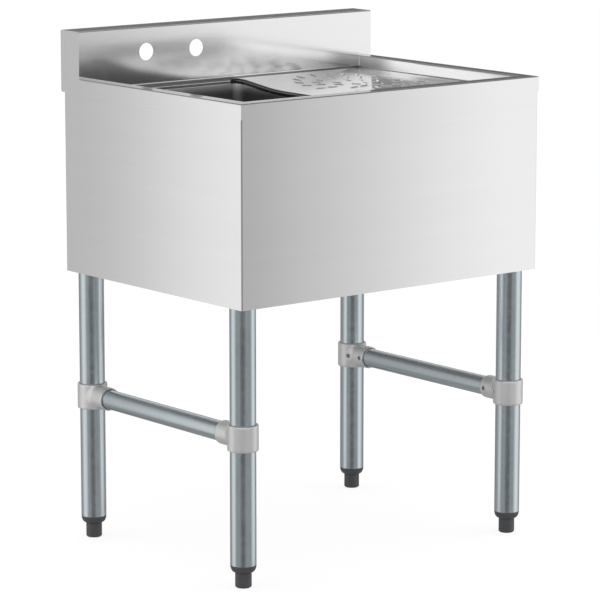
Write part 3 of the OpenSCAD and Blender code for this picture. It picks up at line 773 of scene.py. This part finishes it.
def tee_field(place, size, settings):
    """Distance to a cast tee: a ring round the leg and a branch along +Y, both bored.

    Its size is the ring's radius, half its height, the branch's reach and the tubes' two radii.
    """
    x, y, z = place
    ring_r, half, reach, leg_r, bar_r = size
    thinner, sharper = 0.85, 0.7
    branch_r = bar_r + settings.wall * thinner
    branch_edge = settings.edge * sharper
    ring = rounded_solid(np.hypot(x, y), z, ring_r, half, settings.edge)
    branch = rounded_solid(np.hypot(x, z), y - reach / 2, branch_r, reach / 2, branch_edge)
    flare = 0.8
    leg_mouth = np.maximum(0.0, np.abs(z) - (half - settings.mouth)) * flare
    bar_mouth = np.maximum(0.0, y - (reach - settings.mouth)) * flare
    bore = np.hypot(x, y) - (leg_r + settings.gap) - leg_mouth
    bar_bore = np.hypot(x, z) - (bar_r + settings.gap) - bar_mouth
    bar_bore = np.maximum(bar_bore, ring_r - 0.5 * MM - y)
    turn = math.radians(settings.screw_turn)
    sideways = y * math.cos(turn) - x * math.sin(turn)
    outwards = x * math.cos(turn) + y * math.sin(turn)
    from_end = y - (reach - settings.screw_inset)
    ring_hole = np.maximum(np.hypot(sideways, z) - settings.screw_radius, -outwards)
    branch_hole = np.maximum(np.hypot(from_end, z) - settings.screw_radius, -x)
    holes = np.minimum(np.minimum(bore, bar_bore), np.minimum(ring_hole, branch_hole))
    return -joined(-joined(ring, branch, settings.fillet), holes, settings.edge * 0.5)


def sheet_thickness(piece, thickness):
    """Gives a surface the thickness of the sheet, all of it on one side."""
    solid = piece.modifiers.new("sheet", "SOLIDIFY")
    solid.thickness = thickness
    solid.offset = 1.0
    solid.use_even_offset = True
    piece.modifiers.new("edges", "EDGE_SPLIT").split_angle = math.radians(50)


class SINK_OT_studio(bpy.types.Operator):
    """Floor, lamps, surround and camera"""

    bl_idname = "sink.studio"
    bl_label = "Studio"

    def execute(self, context):
        studio = context.scene.sink_studio
        self.make_floor(studio)
        self.make_surround(context, studio)
        self.make_lamps(studio)
        self.make_camera(context, studio)
        context.scene.view_settings.view_transform = "Standard"
        return {"FINISHED"}

    def make_floor(self, studio):
        """A round floor that keeps the sink's shadow and otherwise looks nearly white."""
        sides = 96
        turns = [2 * math.pi * i / sides for i in range(sides)]
        rim = [(studio.floor_radius * math.cos(turn), studio.floor_radius * math.sin(turn), 0.0)
               for turn in turns]
        mesh = bpy.data.meshes.new("floor")
        mesh.from_pydata(rim, [], [tuple(range(sides))])
        floor = bpy.data.objects.new("floor", mesh)
        bpy.context.scene.collection.objects.link(floor)
        shade = new_shade("pale_floor")
        cloud = shade.noise(shade.place(), 1.2, 2.0, 0.5)
        tone = shade.toned((studio.floor_colour,) * 3, 0.99 + cloud * 0.02)
        matt = shade.node("ShaderNodeBsdfDiffuse", None, {"Color": tone})
        glow = shade.node("ShaderNodeEmission", None, {"Color": WHITE, "Strength": 1.2})
        seen = shade.rays("Is Camera Ray", "Is Glossy Ray", "Is Transmission Ray")
        floor.data.materials.append(shade.finish(
            shade.node("ShaderNodeMixShader", None, {0: seen * 0.7, 1: matt, 2: glow})))
        floor.visible_glossy = False

    def make_surround(self, context, studio):
        """A white surround that the metal reflects as a grey room.

        The room is dark low behind the camera, bright on a panel above it, pale on the wall behind
        the sink with a dark foot, and dim at the ceiling.
        """
        world = bpy.data.worlds.new("surround")
        context.scene.world = world
        shade = Shade(world)
        way = shade.node("ShaderNodeTexCoord", output="Generated")
        toward = shade.vector_math("DOT_PRODUCT", {0: way, 1: CAMERA_SIDE}, output="Value")
        height = shade.axis(way, "Z")
        below = 1.0 - shade.smooth(height, -0.06, 0.03)
        unlit = shade.smooth(toward, 0.84, 0.98) * below
        front = shade.smooth(toward, 0.3, 0.8) * (1.0 - below)
        behind = shade.smooth(0.0 - toward, 0.35, 0.7) * (1.0 - below)
        overhead = shade.smooth(height, 0.43, 0.62)
        seen = shade.rays("Is Camera Ray", "Is Transmission Ray")
        glossy = shade.rays("Is Glossy Ray")
        reflected = shade.blend(unlit, studio.room_level, studio.dark_level)
        reflected = shade.blend(front, reflected, studio.front_level)
        band = shade.smooth(height, 0.195, 0.23) - shade.smooth(height, 0.3, 0.42) * 0.3
        skyline = shade.blend(band, studio.rear_level, studio.wall_level)
        reflected = shade.blend(behind, reflected, skyline)
        reflected = shade.blend(overhead, reflected, studio.ceiling_level)
        level = seen + (1.0 - seen) * (glossy * reflected + (1.0 - glossy) * studio.surround)
        shade.finish(shade.node("ShaderNodeBackground", None, {"Color": WHITE, "Strength": level}))

    def make_lamps(self, studio):
        """Tall softboxes at the left rear and the right front, each graded across its width."""
        self.softbox("softbox_right", RIGHT_TURN, studio, RIGHT_LEVELS)
        self.softbox("softbox_left", LEFT_TURN, studio, LEFT_LEVELS)

    def softbox(self, name, turn, studio, levels):
        """An upright area lamp at a turn about the sink's middle."""
        lamp = bpy.data.lights.new(name, "AREA")
        lamp.shape = "RECTANGLE"
        lamp.size = studio.softbox_width
        lamp.size_y = studio.softbox_height
        lamp.energy = math.pi * lamp.size * lamp.size_y
        strength = 2.0
        shade = Shade(lamp)
        across = shade.axis(shade.node("ShaderNodeNewGeometry", output="Parametric"), "X")
        stops = [(place, (level / strength,) * 3 + (1.0,)) for place, level in levels]
        ramp = shade.node("ShaderNodeValToRGB", {"stops": stops}, {"Fac": across})
        shade.finish(shade.node("ShaderNodeEmission", None, {"Color": ramp, "Strength": strength}))
        middle = Vector((0.0, 0.0, 0.5))
        side = Vector((math.cos(turn), math.sin(turn), 0.0))
        made = bpy.data.objects.new(name, lamp)
        bpy.context.scene.collection.objects.link(made)
        made.location = middle + side * studio.softbox_distance
        made.rotation_euler = (middle - made.location).to_track_quat("-Z", "Y").to_euler()
        made.visible_camera = False

    def make_camera(self, context, studio):
        """A long lens at the photograph's viewing angle."""
        lens = bpy.data.cameras.new("camera")
        lens.sensor_width = 36.0
        lens.lens = studio.lens
        camera = bpy.data.objects.new("camera", lens)
        context.scene.collection.objects.link(camera)
        camera.location = studio.camera_place
        camera.rotation_euler = (math.pi / 2 - studio.camera_pitch, 0.0, studio.camera_yaw)
        context.scene.camera = camera


class SINK_OT_sheet_metal(bpy.types.Operator):
    """Brushed finish of the rim, backsplash and apron, with painted shade and a painted reflection
    """

    bl_idname = "sink.sheet_metal"
    bl_label = "Sheet metal"

    def execute(self, context):
        sheet = context.scene.sink_sheet
        finish = brushed_sheet("brushed_stainless", sheet.colour, sheet.roughness, sheet.grain)
        paint_nodes(
            finish, "deck_rim", "backsplash", "splash_end_left", "splash_end_right", "apron")
        return {"FINISHED"}


class SINK_OT_drainboard(bpy.types.Operator):
    """Dished drainboard with its pressed beads and rolled lip"""

    bl_idname = "sink.drainboard"
    bl_label = "Drainboard"

    def execute(self, context):
        sheet = context.scene.sink_sheet
        settings = context.scene.sink_drainboard
        deck = Deck(settings)
        points, faces = drainboard_mesh(deck, settings)
        surface = sheet.roughness, sheet.grain
        finish = brushed_sheet("brushed_drainboard", sheet.board_colour, *surface)
        # Painted shade: the lip's dark colour stands for the shade over the bowl's edge
        shaded_lip = brushed_sheet("lip_painted_shade", sheet.lip_colour, *surface)
        piece = mesh_piece("dished_drainboard", points, faces, finish, "sink")
        piece.data.materials.append(shaded_lip)
        row = LIP_ROWS + round(deck.run / settings.pitch)
        for face in piece.data.polygons:
            face.material_index = 1 if face.index % row < LIP_ROWS - 1 else 0
        sheet_thickness(piece, sheet.thickness)
        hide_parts("drainboard")
        return {"FINISHED"}


class SINK_OT_bowl(bpy.types.Operator):
    """Drawn bowl with round corners and a floor that falls to the drain"""

    bl_idname = "sink.bowl"
    bl_label = "Bowl"

    def execute(self, context):
        sheet = context.scene.sink_sheet
        deck = Deck(context.scene.sink_drainboard)
        low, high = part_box("strainer_body")
        centre = Vector(((low.x + high.x) / 2, (low.y + high.y) / 2))
        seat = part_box("strainer_gasket")[1].z + sheet.thickness
        points, faces = bowl_mesh(deck, centre, seat, (high.x - low.x) / 2 + SEAT_MARGIN)
        # Painted shade: the bowl's dark colour, with a painted reflection below its top and
        # painted light in its depth
        finish = drawn_sheet("drawn_bowl_painted_shade", sheet.bowl_colour, roughness=0.32, top=LEDGE)
        piece = mesh_piece("drawn_bowl", points, faces, finish, "sink")
        sheet_thickness(piece, sheet.thickness)
        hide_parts("bowl")
        return {"FINISHED"}


class SINK_OT_frame(bpy.types.Operator):
    """Galvanised legs, crossbars, channels and gussets"""

    bl_idname = "sink.frame"
    bl_label = "Leg frame"

    def execute(self, context):
        settings = context.scene.sink_frame
        zinc, roughness = settings.tube_colour, settings.tube_roughness
        upright = galvanised("galvanised_tube", zinc, roughness)
        level = galvanised("galvanised_crossbar", zinc, roughness, along="Y")
        pressed = galvanised("galvanised_sheet", zinc, roughness=0.42, along="Y")
        paint_nodes(upright, *("leg_" + c for c in CORNERS))
        paint_nodes(level, "crossbar_left", "crossbar_right")
        paint_nodes(pressed, "channel_left", "channel_right", "drainboard_stiffener")
        paint_nodes(pressed, *("leg_gusset_" + c for c in CORNERS))
        return {"FINISHED"}


class SINK_OT_sockets(bpy.types.Operator):
    """Cast tee sockets and their set screws"""

    bl_idname = "sink.sockets"
    bl_label = "Tee sockets"

    def execute(self, context):
        settings = context.scene.sink_frame
        casting = cast_metal("cast_socket", settings.casting_colour)
        screw = galvanised("zinc_screw", settings.screw_colour, roughness=0.35)
        paint_nodes(casting, *("tee_socket_" + c for c in CORNERS))
        paint_nodes(screw, "tee_set_screws", "gusset_set_screws")
        points, faces = self.casting_mesh(context.scene.sink_socket)
        for corner in CORNERS:
            self.make_casting(corner, points, faces, casting)
        return {"FINISHED"}

    def casting_mesh(self, settings):
        """Points and faces of a socket about its leg's axis, with the branch along +Y."""
        low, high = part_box("tee_socket_fl")
        ring_r = (high.x - low.x) / 2
        half = (high.z - low.z) / 2
        reach = high.y - low.y - ring_r
        leg_low, leg_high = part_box("leg_fl")
        bar_low, bar_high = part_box("crossbar_left")
        size = (ring_r, half, reach, (leg_high.x - leg_low.x) / 2, (bar_high.x - bar_low.x) / 2)
        margin = 2.5 * settings.step
        start = np.array((-ring_r, -ring_r, -half)) - margin
        end = np.array((ring_r, reach, half)) + margin
        axes = [np.arange(a, b, settings.step) for a, b in zip(start, end)]
        field = tee_field(np.meshgrid(*axes, indexing="ij"), size, settings)
        return surface_net(field, start, settings.step)

    def make_casting(self, corner, points, faces, material):
        """The socket of one corner, mirrored so that its branch points inwards."""
        low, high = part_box("tee_socket_" + corner)
        ring_r = (high.x - low.x) / 2
        sx = 1.0 if corner[1] == "l" else -1.0
        sy = 1.0 if corner[0] == "f" else -1.0
        y = low.y + ring_r if sy > 0 else high.y - ring_r
        placed = points * (sx, sy, 1.0) + ((low.x + high.x) / 2, y, (low.z + high.z) / 2)
        turned = faces if sx * sy > 0 else faces[:, ::-1]
        piece = mesh_piece(
            "cast_tee_" + corner, placed.tolist(), turned.tolist(), material, "sink")
        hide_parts("tee_socket_" + corner)


class SINK_OT_feet(bpy.types.Operator):
    """Moulded foot inserts and adjustable feet"""

    bl_idname = "sink.feet"
    bl_label = "Feet"

    def execute(self, context):
        settings = context.scene.sink_frame
        plastic = moulded("moulded_plastic", settings.foot_colour, roughness=0.42)
        stud = galvanised("zinc_stud", settings.stud_colour, roughness=0.3)
        paint_nodes(plastic, *("foot_insert_" + c for c in CORNERS))
        paint_nodes(plastic, *("foot_" + c for c in CORNERS))
        paint_nodes(stud, *("foot_stud_" + c for c in CORNERS))
        return {"FINISHED"}


class SINK_OT_drain(bpy.types.Operator):
    """Strainer, its ring joints and the lift-out basket"""

    bl_idname = "sink.drain"
    bl_label = "Drain"

    def execute(self, context):
        settings = context.scene.sink_frame
        steel = context.scene.sink_sheet.strainer_colour
        bright = drawn_sheet("bright_strainer_steel", steel, roughness=0.2)
        rubber = moulded("seal_rubber", settings.rubber_colour, roughness=0.6)
        fibre = moulded("pressed_fibre", settings.fibre_colour, roughness=0.8)
        casting = cast_metal("cast_locknut", settings.casting_colour)
        paint_nodes(bright, "strainer_body", "basket", "basket_post")
        paint_nodes(rubber, "strainer_gasket", "basket_seal")
        paint_nodes(fibre, "strainer_washer")
        paint_nodes(casting, "strainer_locknut")
        return {"FINISHED"}


OPERATORS = (
    SINK_OT_studio, SINK_OT_sheet_metal, SINK_OT_drainboard, SINK_OT_bowl,
    SINK_OT_frame, SINK_OT_sockets, SINK_OT_feet, SINK_OT_drain)


class SINK_PT_pieces(bpy.types.Panel):
    """Lists the steps that finish the sink"""

    bl_idname = "SINK_PT_pieces"
    bl_label = "Drainer sink"
    bl_space_type = "VIEW_3D"
    bl_region_type = "UI"
    bl_category = "Sink"

    def draw(self, context):
        for step in OPERATORS:
            self.layout.operator(step.bl_idname)


SETTINGS = {
    "sink_sheet": SinkSheetSettings,
    "sink_drainboard": SinkDrainboardSettings,
    "sink_frame": SinkFrameSettings,
    "sink_socket": SinkSocketSettings,
    "sink_studio": SinkStudioSettings,
}


def register():
    for name, group in SETTINGS.items():
        bpy.utils.register_class(group)
        setattr(bpy.types.Scene, name, PointerProperty(type=group))
    for step in OPERATORS:
        bpy.utils.register_class(step)
    bpy.utils.register_class(SINK_PT_pieces)


def unregister():
    bpy.utils.unregister_class(SINK_PT_pieces)
    for step in reversed(OPERATORS):
        bpy.utils.unregister_class(step)
    for name, group in reversed(SETTINGS.items()):
        delattr(bpy.types.Scene, name)
        bpy.utils.unregister_class(group)


def main():
    register()
    for step in OPERATORS:
        group, name = step.bl_idname.split(".")
        getattr(getattr(bpy.ops, group), name)()


if __name__ == "__main__":
    main()
